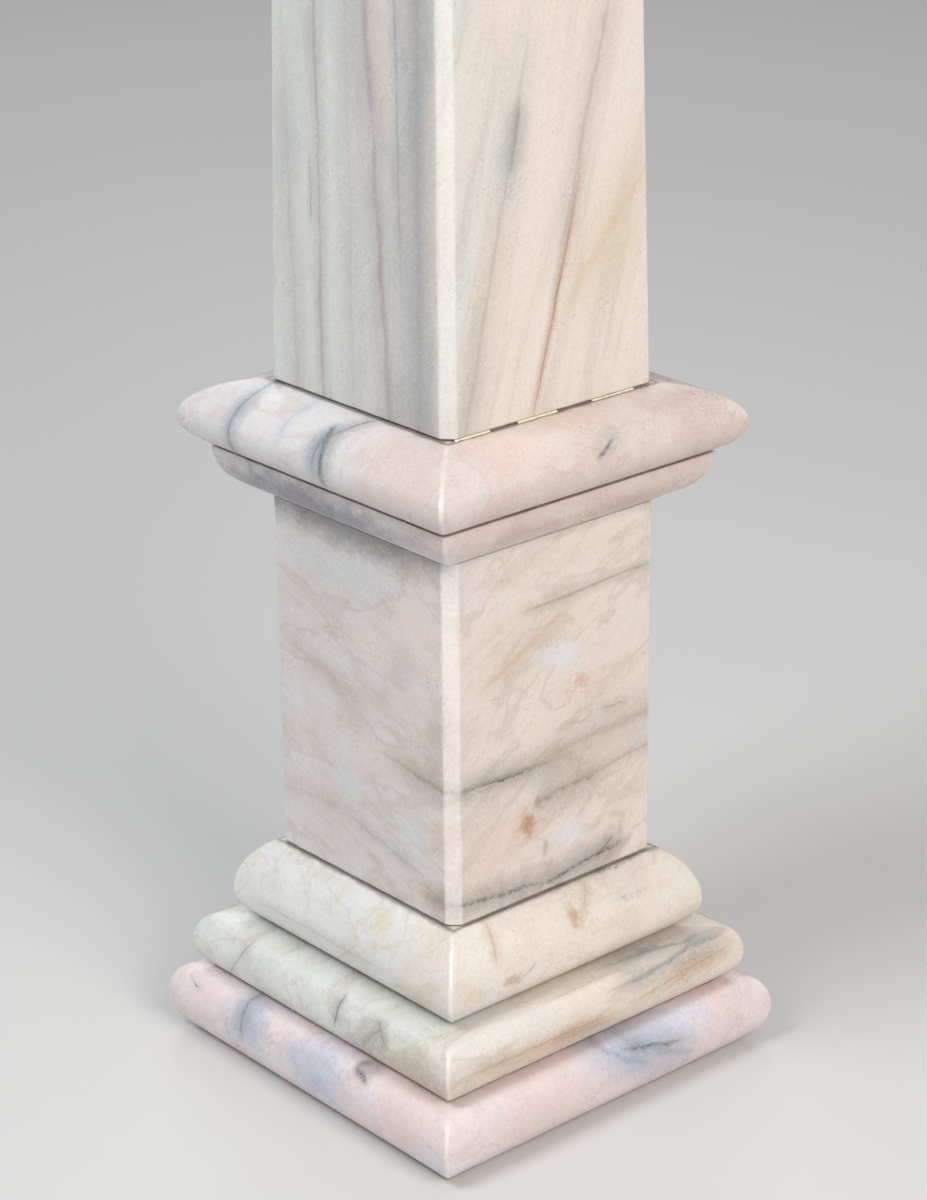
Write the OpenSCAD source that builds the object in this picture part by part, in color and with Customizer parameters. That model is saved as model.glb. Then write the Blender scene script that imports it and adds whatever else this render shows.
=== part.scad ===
// Marble obelisk: a tapered shaft on a square pedestal of five dressed stones,
// each stone set on a thin bed of mastic. Millimetres, +Z up, origin at the
// centre of the foot.

/* [Base slab] */
// Thickness of the base slab
base_t = 30; // [24:1:45]
// How far the base slab stands out past the middle one
base_out = 8.5; // [5:0.5:20]
// Height of the base slab's widest point
base_widest = 17; // [10:1:20]
// How far its rounded edge runs back below the widest point
base_under = 14; // [8:0.5:20]
// How far its rounded edge runs back above the widest point
base_over = 8; // [4:0.5:14]

/* [Middle slab] */
// Thickness of the middle slab
middle_t = 23; // [16:1:32]
// How far the middle slab stands out past the upper one
middle_out = 12.5; // [8:0.5:24]
// Height of the middle slab's widest point
middle_widest = 11; // [6:1:14]
// How far its rounded edge runs back below the widest point
middle_under = 8; // [4:0.5:14]
// How far its rounded edge runs back above the widest point
middle_over = 7; // [4:0.5:14]

/* [Upper slab] */
// Thickness of the upper slab
upper_t = 35; // [26:1:50]
// How far the upper slab stands out past the die
upper_out = 14.5; // [10:0.5:26]
// Height of the upper slab's widest point
upper_widest = 11; // [6:1:22]
// How far its rounded edge runs back below the widest point
upper_under = 11; // [6:0.5:18]
// How far the long curve above would run back if the die didn't stop it
upper_over = 26; // [12:1:40]

/* [Die] */
// Width of the square die
die_w = 110; // [90:1:140]
// Height of the die
die_h = 152; // [100:1:240]

/* [Cornice] */
// Height of the plain fillet at the foot of the cornice
fillet_h = 2; // [1:0.5:5]
// How far the fillet stands out past the die
fillet_out = 1; // [0.5:0.5:4]
// Height of the ovolo above the fillet
ovolo_h = 17; // [10:1:24]
// How far the ovolo stands out past the die
ovolo_out = 15.5; // [10:0.5:20]
// Depth of the quirk cut in behind the top of the ovolo
quirk = 4; // [1:0.5:8]
// Thickness of the cornice's projecting nose
nose_t = 28; // [20:1:40]
// How far the nose stands out past the die
nose_out = 25; // [22:0.5:40]
// Height of the nose's widest point above its underside
nose_widest = 12.5; // [7:0.5:18]
// How far the curve of the underside would run back if the quirk didn't stop it
nose_under = 19; // [17:0.5:30]
// How far the long curve on top would run back if the shaft didn't stop it
nose_over = 30; // [20:1:50]

/* [Shaft] */
// Width of the shaft at its foot
shaft_w = 108; // [90:1:130]
// Width of the shaft where the point begins
shaft_top_w = 60; // [40:1:84]
// Height of the tapered shaft, up to the point
shaft_h = 1250; // [700:5:1800]
// Height of the four-sided point
point_h = 85; // [50:1:140]
// Width of the flat left on the very tip
tip_w = 3; // [1:0.5:8]

/* [Finish] */
// Leg of the flat taken off each upright edge of the die and the shaft
arris = 4.4; // [1:0.1:8]
// Thickness of each mastic bed
bed_t = 0.8; // [0.4:0.1:2]
// How far a bed is held back from the edge of its joint
bed_back = 1.5; // [0.5:0.1:4]
// Flat left round a stone's seat before the moulding below it starts to curve
seat_lip = 0.5; // [0.2:0.1:2]

/* [Hidden] */

// Straight pieces in each half of a moulding's curve.
CURVE_STEPS = 16;

// Widths, from the die outwards.
upper_w = die_w + 2 * upper_out;
middle_w = upper_w + 2 * middle_out;
base_w = middle_w + 2 * base_out;
cornice_w = die_w + 2 * nose_out;

// Flat undersides, which the beds fill.
upper_foot = upper_w - 2 * upper_under;
middle_foot = middle_w - 2 * middle_under;

// Room for each curve to run back, before the foot of the stone above or the quirk.
base_room = (base_w - middle_foot) / 2 - seat_lip;
middle_room = (middle_w - upper_foot) / 2 - seat_lip;
upper_room = upper_out - seat_lip;
nose_room = (cornice_w - shaft_w) / 2 - seat_lip;
quirk_room = nose_out - ovolo_out + quirk;

// Levels, from the ground up. Each stone sits on its bed.
z_middle = base_t + bed_t;
z_upper = z_middle + middle_t + bed_t;
z_die = z_upper + upper_t + bed_t;
z_cornice = z_die + die_h + bed_t;
cornice_h = fillet_h + ovolo_h + nose_t;
z_shaft = z_cornice + cornice_h + bed_t;

// Angle through which a curve of the given run turns before it uses up the room.
function turn(run, room) = acos(1 - min(run, room) / run);

// A rounded edge of thickness t whose widest point is at x and `widest` above z.
// It runs back by `under` below that point and by `over` above it, each curve
// being part of an ellipse: the first turns through `a`, the second through `b`.
function rounded(x, z, t, widest, under, over, a, b) =
    concat([for (i = [CURVE_STEPS : -1 : 0])
                let (s = a * i / CURVE_STEPS)
                [x - under * (1 - cos(s)), z + widest * (1 - sin(s) / sin(a))]],
           [for (i = [1 : CURVE_STEPS])
                let (s = b * i / CURVE_STEPS)
                [x - over * (1 - cos(s)), z + widest + (t - widest) * sin(s) / sin(b)]]);

// A quarter-round swelling from (x0, z0) out to x1 and up by h.
function swelling(x0, x1, z0, h) =
    [for (i = [0 : CURVE_STEPS])
        let (s = 90 * i / CURVE_STEPS) [x0 + (x1 - x0) * sin(s), z0 + h * (1 - cos(s))]];

// A square stone with one outline, given from the foot up, on all four sides.
module stone(outline, angle = 0) {
    mirrored = [for (i = [len(outline) - 1 : -1 : 0]) [-outline[i][0], outline[i][1]]];
    depth = 2 * max([for (p = outline) p[0]]) + 2;
    intersection_for (a = [angle, angle + 90])
        rotate([90, 0, a]) linear_extrude(depth, center = true)
            polygon(concat(outline, mirrored));
}

// A thin square bed of mastic under a stone whose flat foot is w wide.
module bed(w, z) {
    b = w - 2 * bed_back;
    color([0.33, 0.31, 0.29]) translate([-b / 2, -b / 2, z]) cube([b, b, bed_t]);
}

module base_slab() {
    color([0.93, 0.80, 0.78])
        stone(rounded(base_w / 2, 0, base_t, base_widest, base_under, base_over,
                      90, turn(base_over, base_room)));
}

module base_bed() { bed(middle_foot, base_t); }

module middle_slab() {
    color([0.83, 0.77, 0.69]) translate([0, 0, z_middle])
        stone(rounded(middle_w / 2, 0, middle_t, middle_widest, middle_under, middle_over,
                      90, turn(middle_over, middle_room)));
}

module middle_bed() { bed(upper_foot, z_middle + middle_t); }

module upper_slab() {
    color([0.88, 0.85, 0.80]) translate([0, 0, z_upper])
        stone(rounded(upper_w / 2, 0, upper_t, upper_widest, upper_under, upper_over,
                      90, turn(upper_over, upper_room)));
}

module die_bed() { bed(die_w - 2 * arris, z_upper + upper_t); }

// A plain block with its four upright edges bevelled.
module die() {
    color([0.86, 0.79, 0.75]) translate([0, 0, z_die]) intersection() {
        stone([[die_w / 2, 0], [die_w / 2, die_h]]);
        stone([[(die_w - arris) / sqrt(2), 0], [(die_w - arris) / sqrt(2), die_h]], 45);
    }
}

module cornice_bed() { bed(die_w - 2 * arris, z_die + die_h); }

// One stone: a fillet, an ovolo swelling outwards, a quirk, and the long nose.
module cornice() {
    fillet_x = die_w / 2 + fillet_out;
    ovolo_x = die_w / 2 + ovolo_out;
    color([0.88, 0.78, 0.75]) translate([0, 0, z_cornice])
        stone(concat([[fillet_x, 0]],
                     swelling(fillet_x, ovolo_x, fillet_h, ovolo_h),
                     rounded(cornice_w / 2, fillet_h + ovolo_h, nose_t, nose_widest,
                             nose_under, nose_over,
                             turn(nose_under, quirk_room), turn(nose_over, nose_room))));
}

module shaft_bed() { bed(shaft_w - 2 * arris, z_cornice + cornice_h); }

// Tapered shaft and its point in one stone, with the edge bevels tapering too.
module shaft() {
    levels = [0, shaft_h, shaft_h + point_h];
    widths = [shaft_w, shaft_top_w, tip_w];
    across_bevels = (1 - arris / shaft_w) / sqrt(2);
    color([0.87, 0.85, 0.79]) translate([0, 0, z_shaft]) intersection() {
        stone([for (i = [0 : 2]) [widths[i] / 2, levels[i]]]);
        stone([for (i = [0 : 2]) [widths[i] * across_bevels, levels[i]]], 45);
    }
}

base_slab();
base_bed();
middle_slab();
middle_bed();
upper_slab();
die_bed();
die();
cornice_bed();
cornice();
shaft_bed();
shaft();
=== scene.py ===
import math

import bmesh
import bpy
from mathutils import Euler, Matrix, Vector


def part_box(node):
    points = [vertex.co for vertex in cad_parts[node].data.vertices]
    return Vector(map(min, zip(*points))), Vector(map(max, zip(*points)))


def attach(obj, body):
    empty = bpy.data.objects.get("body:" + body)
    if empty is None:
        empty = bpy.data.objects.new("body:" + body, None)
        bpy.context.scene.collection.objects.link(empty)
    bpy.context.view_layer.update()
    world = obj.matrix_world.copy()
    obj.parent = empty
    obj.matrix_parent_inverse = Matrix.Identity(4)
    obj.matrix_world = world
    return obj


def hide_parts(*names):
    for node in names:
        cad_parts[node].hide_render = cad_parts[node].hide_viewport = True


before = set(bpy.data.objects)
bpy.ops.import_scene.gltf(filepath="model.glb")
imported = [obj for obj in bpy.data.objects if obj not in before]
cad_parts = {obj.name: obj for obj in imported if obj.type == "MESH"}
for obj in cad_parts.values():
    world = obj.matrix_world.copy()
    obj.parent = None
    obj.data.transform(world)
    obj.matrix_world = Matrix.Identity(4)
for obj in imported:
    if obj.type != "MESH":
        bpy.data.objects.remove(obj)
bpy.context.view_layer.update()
MM = 0.001

# ---------------------------------------------------------------------------
# The studio: a plain pale floor that the obelisk stands on, a broad warm lamp on
# the right, a cooler one on the left, and weak ones overhead and behind.
# ---------------------------------------------------------------------------
FLOOR_HALF = 16.0
FLOOR_COLOUR = (0.66, 0.65, 0.635, 1)
FLOOR_ROUGHNESS = 0.55
AIR_COLOUR = (0.93, 0.95, 1.0, 1)
AIR_STRENGTH = 0.30
WARM_LIGHT = (1.0, 0.97, 0.93)
COOL_LIGHT = (0.93, 0.97, 1.0)
PLAIN_LIGHT = (1.0, 0.99, 0.97)
BACK_LIGHT = (0.96, 0.98, 1.0)

bpy.ops.object.select_all(action="DESELECT")
bpy.ops.mesh.primitive_plane_add(size=2 * FLOOR_HALF, location=(0, 0, 0))
floor = bpy.context.object
floor.name = "studio_floor"
floor_paint = bpy.data.materials.new("floor_paint")
floor_paint.use_nodes = True
floor_shader = floor_paint.node_tree.nodes["Principled BSDF"]
floor_shader.inputs["Base Color"].default_value = FLOOR_COLOUR
floor_shader.inputs["Roughness"].default_value = FLOOR_ROUGHNESS
floor.data.materials.append(floor_paint)

studio = bpy.context.scene
studio.world = bpy.data.worlds.new("studio_air")
studio.world.use_nodes = True
air = studio.world.node_tree.nodes["Background"]
air.inputs["Color"].default_value = AIR_COLOUR
air.inputs["Strength"].default_value = AIR_STRENGTH
studio.view_settings.view_transform = "Standard"


def around(azimuth, elevation, distance, height):
    """A place seen from the obelisk's axis at that height: azimuth 0 is -Y, 90 is +X."""
    turned, raised = math.radians(azimuth), math.radians(elevation)
    return (distance * math.cos(raised) * math.sin(turned),
            -distance * math.cos(raised) * math.cos(turned),
            height + distance * math.sin(raised))


def soft_lamp(name, colour, azimuth, elevation, distance, height, size, watts):
    """A square lamp that faces the obelisk's axis at that height."""
    lamp = bpy.data.lights.new(name, "AREA")
    lamp.shape = "SQUARE"
    lamp.size = size
    lamp.energy = watts
    lamp.color = colour
    holder = bpy.data.objects.new(name, lamp)
    studio.collection.objects.link(holder)
    holder.location = around(azimuth, elevation, distance, height)
    holder.rotation_euler = (math.radians(90 - elevation), 0, math.radians(azimuth))


soft_lamp("right_lamp", WARM_LIGHT, azimuth=80, elevation=30, distance=2.2, height=0.3,
          size=1.2, watts=33)
soft_lamp("left_lamp", COOL_LIGHT, azimuth=-5, elevation=48, distance=2.4, height=0.3,
          size=0.9, watts=31)
soft_lamp("top_lamp", PLAIN_LIGHT, azimuth=47, elevation=80, distance=2.9, height=0.3,
          size=1.2, watts=7)
soft_lamp("back_lamp", BACK_LIGHT, azimuth=232, elevation=28, distance=2.8, height=0.7,
          size=1.4, watts=14)

# The camera stands about 1.3 m off and 0.68 m above the floor, almost on the
# diagonal through the +X, -Y corner, and looks down on the pedestal.
CAMERA_AZIMUTH = 49.0
CAMERA_ELEVATION = 23.6
CAMERA_DISTANCE = 1.297
CAMERA_AIM_HEIGHT = 0.1594
LOOKS_UP_BY = 1.57
CAMERA_ROLL = -0.61
LENS_MM = 96
SENSOR_MM = 36
NEAREST = 0.05

camera = bpy.data.objects.new("camera", bpy.data.cameras.new("camera"))
studio.collection.objects.link(camera)
camera.location = around(CAMERA_AZIMUTH, CAMERA_ELEVATION, CAMERA_DISTANCE, CAMERA_AIM_HEIGHT)
level_look = Euler((math.radians(90 - CAMERA_ELEVATION + LOOKS_UP_BY), 0,
                    math.radians(CAMERA_AZIMUTH)))
camera.rotation_euler = (level_look.to_matrix()
                         @ Matrix.Rotation(math.radians(CAMERA_ROLL), 3, "Z")).to_euler()
camera.data.lens = LENS_MM
camera.data.sensor_width = SENSOR_MM
camera.data.clip_start = NEAREST
studio.camera = camera

# ---------------------------------------------------------------------------
# Base slab: a square of pink marble with lavender and blue-grey veins, its edge
# run round in one curve. The other stones stand on it, each on a thin bed.
# ---------------------------------------------------------------------------
CURVE_STEPS = 12
SEAT_LIP = 0.5 * MM
TOUCH = 0.01 * MM


def turn(run, room):
    """Angle a curve of that run turns through before it uses up the room."""
    return math.acos(1 - min(run, room) / run)


def rounded(half, z, thickness, widest, under, over, low_turn, high_turn):
    """A rounded edge as (half width, height) pairs, from its foot to its top."""
    outline = []
    for i in range(CURVE_STEPS, -1, -1):
        swing = low_turn * i / CURVE_STEPS
        outline.append((half - under * (1 - math.cos(swing)),
                        z + widest * (1 - math.sin(swing) / math.sin(low_turn))))
    for i in range(1, CURVE_STEPS + 1):
        swing = high_turn * i / CURVE_STEPS
        rise = (thickness - widest) * math.sin(swing) / math.sin(high_turn)
        outline.append((half - over * (1 - math.cos(swing)), z + widest + rise))
    return outline


def cut_blank(name, half, z, cells, corner_cuts):
    """Starts a square stone as a gridded face, takes its corners off by each (width, segments)
    in turn, and stays in edit mode."""
    bpy.ops.object.select_all(action="DESELECT")
    bpy.ops.mesh.primitive_grid_add(x_subdivisions=cells, y_subdivisions=cells,
                                    size=2 * half, location=(0, 0, z))
    stone = bpy.context.object
    stone.name = name
    stone.data.name = name
    bpy.ops.object.transform_apply(location=True, rotation=True, scale=True)
    bpy.ops.object.mode_set(mode="EDIT")
    bpy.context.tool_settings.mesh_select_mode = (True, False, False)
    back = 0
    for width, segments in corner_cuts:
        mesh = bmesh.from_edit_mesh(stone.data)
        for v in mesh.verts:
            far, near = sorted((abs(v.co.x), abs(v.co.y)), reverse=True)
            v.select = far > half - TOUCH and abs(near - (half - back)) < TOUCH
        mesh.select_flush_mode()
        bmesh.update_edit_mesh(stone.data)
        bpy.ops.mesh.bevel(offset=width, segments=segments, affect="VERTICES")
        back = width
    bpy.ops.mesh.select_all(action="SELECT")
    return stone


def raise_stone(outline):
    """Draws the blank up through the outline's levels, widening or narrowing it at each."""
    half, z = outline[0]
    for next_half, next_z in outline[1:]:
        bpy.ops.mesh.extrude_region_move(
            TRANSFORM_OT_translate={"value": (0, 0, next_z - z)})
        change = next_half / half
        bpy.ops.transform.resize(value=(change, change, 1), center_override=(0, 0, next_z))
        half, z = next_half, next_z
    bpy.ops.mesh.select_all(action="SELECT")
    bpy.ops.mesh.normals_make_consistent(inside=False)
    bpy.ops.object.mode_set(mode="OBJECT")


def worn_texture(name, size, start, end):
    """Cloudy hollows that the wear follows, deepening from start to end."""
    texture = bpy.data.textures.new(name, "CLOUDS")
    texture.noise_scale = size
    texture.noise_depth = 2
    texture.use_color_ramp = True
    shallow, deep = texture.color_ramp.elements
    shallow.position, shallow.color = start, (0, 0, 0, 1)
    deep.position, deep.color = end, (1, 1, 1, 1)
    return texture


CHIPS = worn_texture("chips", 3.2 * MM, 0.55, 0.80)
ROLL = worn_texture("hand_rubbed_roll", 30 * MM, 0.1, 0.9)
ARRIS_REACH = 0.9 * MM
EDGE_REACH = 0.4 * MM
EDGE_WEAR = 0.4
RUB = 0.10 * MM
CREASE = math.radians(28)


def half_of(stone):
    """Half the stone's width at its widest."""
    return max(abs(corner[0]) for corner in stone.bound_box)


def dress(stone, arris=0.0, levels=(), refine=1, chip=0.25 * MM):
    """Refines the mesh, chips the arrises and the edges at those levels, and rubs the faces.
    A flat arris tapers with its stone."""
    refiner = stone.modifiers.new("refine", "SUBSURF")
    refiner.subdivision_type = "SIMPLE"
    refiner.levels = refine
    refiner.render_levels = refine
    bpy.ops.object.modifier_apply(modifier="refine")
    worn = stone.vertex_groups.new(name="worn")
    widest = half_of(stone)
    for v in stone.data.vertices:
        wide, narrow = sorted((abs(v.co.x), abs(v.co.y)), reverse=True)
        on_arris = abs(wide - narrow - arris * wide / widest) < ARRIS_REACH
        on_edge = any(abs(v.co.z - level) < EDGE_REACH for level in levels)
        if on_arris or on_edge:
            worn.add([v.index], 1.0 if on_arris else EDGE_WEAR, "REPLACE")
    for name, texture, depth, group in (("chip", CHIPS, chip, "worn"),
                                        ("rub", ROLL, RUB, "")):
        wear = stone.modifiers.new(name, "DISPLACE")
        wear.texture = texture
        wear.texture_coords = "LOCAL"
        wear.strength = -depth
        wear.mid_level = 0
        wear.vertex_group = group
        bpy.ops.object.modifier_apply(modifier=name)
    bpy.ops.object.shade_smooth_by_angle(angle=CREASE)


def new_group(name, inputs, outputs):
    """An empty shader group with those named sockets, and its two end nodes."""
    tree = bpy.data.node_groups.new(name, "ShaderNodeTree")
    for socket, kind in inputs:
        tree.interface.new_socket(socket, in_out="INPUT", socket_type=kind)
    for socket in outputs:
        tree.interface.new_socket(socket, in_out="OUTPUT", socket_type="NodeSocketFloat")
    return tree, tree.nodes.new("NodeGroupInput"), tree.nodes.new("NodeGroupOutput")


def feed(tree, socket, value):
    """Links a socket to another one, or sets its number."""
    if isinstance(value, bpy.types.NodeSocket):
        tree.links.new(value, socket)
    else:
        socket.default_value = value


def maths(tree, operation, *values):
    """One Math node."""
    node = tree.nodes.new("ShaderNodeMath")
    node.operation = operation
    for socket, value in zip(node.inputs, values):
        feed(tree, socket, value)
    return node.outputs[0]


def vector_maths(tree, operation, *values):
    """One Vector Math node."""
    node = tree.nodes.new("ShaderNodeVectorMath")
    node.operation = operation
    for socket, value in zip(node.inputs, values):
        feed(tree, socket, value)
    return node.outputs["Value" if operation in ("DOT_PRODUCT", "LENGTH") else "Vector"]


def fade(tree, value, start, end, low=0.0, high=1.0):
    """Runs smoothly from low at start to high at end."""
    node = tree.nodes.new("ShaderNodeMapRange")
    node.interpolation_type = "SMOOTHSTEP"
    for socket, given in zip(node.inputs, (value, start, end, low, high)):
        feed(tree, socket, given)
    return node.outputs[0]


def cloud(tree, position, per_metre, detail=3.0, roughness=0.55, warp=0.0):
    """Noise of that many cells to the metre."""
    node = tree.nodes.new("ShaderNodeTexNoise")
    feed(tree, node.inputs["Vector"], position)
    feed(tree, node.inputs["Scale"], per_metre)
    node.inputs["Detail"].default_value = detail
    node.inputs["Roughness"].default_value = roughness
    node.inputs["Distortion"].default_value = warp
    return node.outputs["Fac"]


FLOAT, VECTOR = "NodeSocketFloat", "NodeSocketVector"
BROAD_CELLS, FINE_CELLS, MOTTLE_CELLS, CRYSTAL_CELLS = 42.0, 140.0, 560.0, 1020.0


def make_currents_group():
    """The stone's own unevenness, which all its veins, clouds and painted corner highlights
    follow. Broad and fine run either way from 0. The noise is turned askew, so that no face
    meets its lattice."""
    tree, given, made = new_group("currents", [("Position", VECTOR)],
                                  ["Broad", "Fine", "Swell", "Specks", "Mottle"])
    askew = tree.nodes.new("ShaderNodeMapping")
    askew.inputs["Rotation"].default_value = (0.35, -0.50, 0.80)
    tree.links.new(given.outputs["Position"], askew.inputs["Vector"])
    position = askew.outputs[0]
    broad = maths(tree, "MULTIPLY_ADD", cloud(tree, position, BROAD_CELLS, 2.0, 0.6), 2.0, -1.0)
    fine = maths(tree, "MULTIPLY_ADD", cloud(tree, position, FINE_CELLS, 2.0, 0.6), 2.0, -1.0)
    mottle = cloud(tree, position, MOTTLE_CELLS, 1.0, 0.6)
    swell = maths(tree, "MULTIPLY_ADD", maths(tree, "ADD", broad, fine), 0.8, 0.75)
    tree.links.new(broad, made.inputs["Broad"])
    tree.links.new(fine, made.inputs["Fine"])
    tree.links.new(swell, made.inputs["Swell"])
    tree.links.new(fade(tree, mottle, 0.42, 0.60), made.inputs["Specks"])
    tree.links.new(mottle, made.inputs["Mottle"])
    return tree


CURRENTS = [("Broad", FLOAT), ("Fine", FLOAT), ("Swell", FLOAT), ("Specks", FLOAT)]
HALO_SPREAD = 5.0
FULL_REACH = 0.45


def make_vein_group():
    """A vein is a thin wandering sheet through the stone, seen where it meets a face. It has a
    core and a wider halo, and fades out towards its reach."""
    tree, given, made = new_group(
        "vein",
        [("Position", VECTOR), ("Middle", VECTOR), ("Facing", VECTOR), ("Reach", FLOAT),
         ("Width", FLOAT), ("Wander", FLOAT), ("Ripple", FLOAT), ("Broken", FLOAT)] + CURRENTS,
        ["Core", "Halo"])
    get = given.outputs
    offset = vector_maths(tree, "SUBTRACT", get["Position"], get["Middle"])
    facing = vector_maths(tree, "NORMALIZE", get["Facing"])
    swung = maths(tree, "MULTIPLY_ADD", get["Broad"], get["Wander"],
                   vector_maths(tree, "DOT_PRODUCT", offset, facing))
    rippled = maths(tree, "MULTIPLY_ADD", get["Fine"], get["Ripple"], swung)
    away = maths(tree, "ABSOLUTE", rippled)
    width = maths(tree, "MULTIPLY", get["Width"], get["Swell"])
    line = fade(tree, away, 0.0, width, 1.0, 0.0)
    spread = maths(tree, "MULTIPLY", get["Width"], HALO_SPREAD)
    glow = fade(tree, away, 0.0, spread, 1.0, 0.0)
    full = maths(tree, "MULTIPLY", get["Reach"], FULL_REACH)
    reach = fade(tree, vector_maths(tree, "LENGTH", offset), full, get["Reach"], 1.0, 0.0)
    gaps = maths(tree, "MULTIPLY", get["Broken"], maths(tree, "SUBTRACT", 1.0, get["Specks"]))
    whole = maths(tree, "SUBTRACT", 1.0, gaps)
    core = maths(tree, "MULTIPLY", maths(tree, "MULTIPLY", line, reach), whole)
    tree.links.new(core, made.inputs["Core"])
    tree.links.new(maths(tree, "MULTIPLY", glow, reach), made.inputs["Halo"])
    return tree


def make_patch_group():
    """A soft-edged cloud of another colour, of that size each way."""
    tree, given, made = new_group(
        "patch", [("Position", VECTOR), ("Middle", VECTOR), ("Size", VECTOR),
                  ("Ragged", FLOAT)] + CURRENTS, ["Mask"])
    get = given.outputs
    offset = vector_maths(tree, "SUBTRACT", get["Position"], get["Middle"])
    spread = vector_maths(tree, "LENGTH", vector_maths(tree, "DIVIDE", offset, get["Size"]))
    uneven = maths(tree, "MULTIPLY", maths(tree, "ADD", get["Broad"], get["Fine"]), 0.35)
    rag = maths(tree, "MULTIPLY", get["Ragged"], uneven)
    mask = fade(tree, maths(tree, "ADD", spread, rag), 0.15, 1.05, 1.0, 0.0)
    tree.links.new(mask, made.inputs["Mask"])
    return tree


def make_grain_group():
    """The marble's crystals: soft specks, a few bright ones, and how proud they stand."""
    tree, given, made = new_group("grain", [("Position", VECTOR), ("Mottle", FLOAT)],
                                  ["Tone", "Sparkle", "Height"])
    askew = tree.nodes.new("ShaderNodeMapping")
    askew.inputs["Rotation"].default_value = (0.65, 0.40, 0.25)
    tree.links.new(given.outputs["Position"], askew.inputs["Vector"])
    fine = cloud(tree, askew.outputs[0], CRYSTAL_CELLS, 2.0, 0.7)
    mottle = maths(tree, "MULTIPLY", given.outputs["Mottle"], 0.35)
    tone = maths(tree, "MULTIPLY_ADD", fine, 0.65, mottle)
    tree.links.new(tone, made.inputs["Tone"])
    tree.links.new(fade(tree, fine, 0.62, 0.74), made.inputs["Sparkle"])
    tree.links.new(fine, made.inputs["Height"])
    return tree


def make_highlight_group():
    """A painted highlight along a square stone's four corners, broken up here and there."""
    tree, given, made = new_group(
        "corner_highlight", [("Position", VECTOR), ("Width", FLOAT), ("Soft", FLOAT)] + CURRENTS,
        ["Mask"])
    get = given.outputs
    split = tree.nodes.new("ShaderNodeSeparateXYZ")
    tree.links.new(get["Position"], split.inputs[0])
    across = maths(tree, "ABSOLUTE", split.outputs["X"])
    deep = maths(tree, "ABSOLUTE", split.outputs["Y"])
    gap = maths(tree, "ABSOLUTE", maths(tree, "SUBTRACT", across, deep))
    edge = maths(tree, "MULTIPLY_ADD", get["Fine"], maths(tree, "MULTIPLY", get["Soft"], 0.7), gap)
    outer = maths(tree, "ADD", get["Width"], get["Soft"])
    band = fade(tree, edge, get["Width"], outer, 1.0, 0.0)
    broken_up = fade(tree, get["Broad"], -0.5, 0.3, 0.45, 1.0)
    tree.links.new(maths(tree, "MULTIPLY", band, broken_up), made.inputs["Mask"])
    return tree


def make_joint_group():
    """A dark line along the foot of the stone above, or at a stone's own foot: grime at a joint,
    and painted shade where the line lies in a recess, as in the cornice's quirk.
    """
    tree, given, made = new_group(
        "grime_and_recess_shade", [("Position", VECTOR), ("Level", FLOAT), ("Half", FLOAT),
                        ("Width", FLOAT)] + CURRENTS, ["Mask"])
    get = given.outputs
    split = tree.nodes.new("ShaderNodeSeparateXYZ")
    tree.links.new(get["Position"], split.inputs[0])
    across = maths(tree, "ABSOLUTE", split.outputs["X"])
    deep = maths(tree, "ABSOLUTE", split.outputs["Y"])
    aside = maths(tree, "SUBTRACT", maths(tree, "MAXIMUM", across, deep), get["Half"])
    drop = maths(tree, "SUBTRACT", split.outputs["Z"], get["Level"])
    aside_squared = maths(tree, "MULTIPLY", aside, aside)
    drop_squared = maths(tree, "MULTIPLY", drop, drop)
    away = maths(tree, "SQRT", maths(tree, "ADD", aside_squared, drop_squared))
    swell = maths(tree, "MULTIPLY_ADD", get["Fine"], 0.9, 0.9)
    uneven = maths(tree, "MULTIPLY", get["Width"], swell)
    tree.links.new(fade(tree, away, 0.0, uneven, 1.0, 0.0), made.inputs["Mask"])
    return tree


GROUPS = {"currents": make_currents_group(), "vein": make_vein_group(),
          "patch": make_patch_group(), "grain": make_grain_group(),
          "corner_highlight": make_highlight_group(), "grime_and_recess_shade": make_joint_group()}


def placed(paint, kind, **values):
    """Places a group in a material at the paint's own position, with those values and
    whatever currents the group takes."""
    node = paint["tree"].nodes.new("ShaderNodeGroup")
    node.node_tree = GROUPS[kind]
    feed(paint["tree"], node.inputs["Position"], paint["position"])
    for name, value in values.items():
        feed(paint["tree"], node.inputs[name], value)
    for name, socket in paint.get("currents", {}).items():
        if name in node.inputs:
            feed(paint["tree"], node.inputs[name], socket)
    return node.outputs


def blend_colour(paint, colour, mask, strength=1.0):
    """Lays a colour over what the paint has so far."""
    tree = paint["tree"]
    node = tree.nodes.new("ShaderNodeMix")
    node.data_type = "RGBA"
    feed(tree, node.inputs["Factor"], maths(tree, "MULTIPLY", mask, strength))
    feed(tree, node.inputs["A"], paint["colour"])
    feed(tree, node.inputs["B"], colour)
    paint["colour"] = node.outputs["Result"]


def linear(red, green, blue):
    """A colour as a paint chart gives it, 0 to 255, turned to light."""
    parts = [c / 255 for c in (red, green, blue)]
    return tuple(c / 12.92 if c <= 0.04045 else ((c + 0.055) / 1.055) ** 2.4
                 for c in parts) + (1,)


def lean(paint, tilt, stretch):
    """The paint's position turned by tilt (degrees) and drawn out, for streaks."""
    node = paint["tree"].nodes.new("ShaderNodeMapping")
    node.vector_type = "TEXTURE"
    node.inputs["Rotation"].default_value = [math.radians(a) for a in tilt]
    node.inputs["Scale"].default_value = stretch
    paint["tree"].links.new(paint["position"], node.inputs["Vector"])
    return node.outputs[0]


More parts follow.
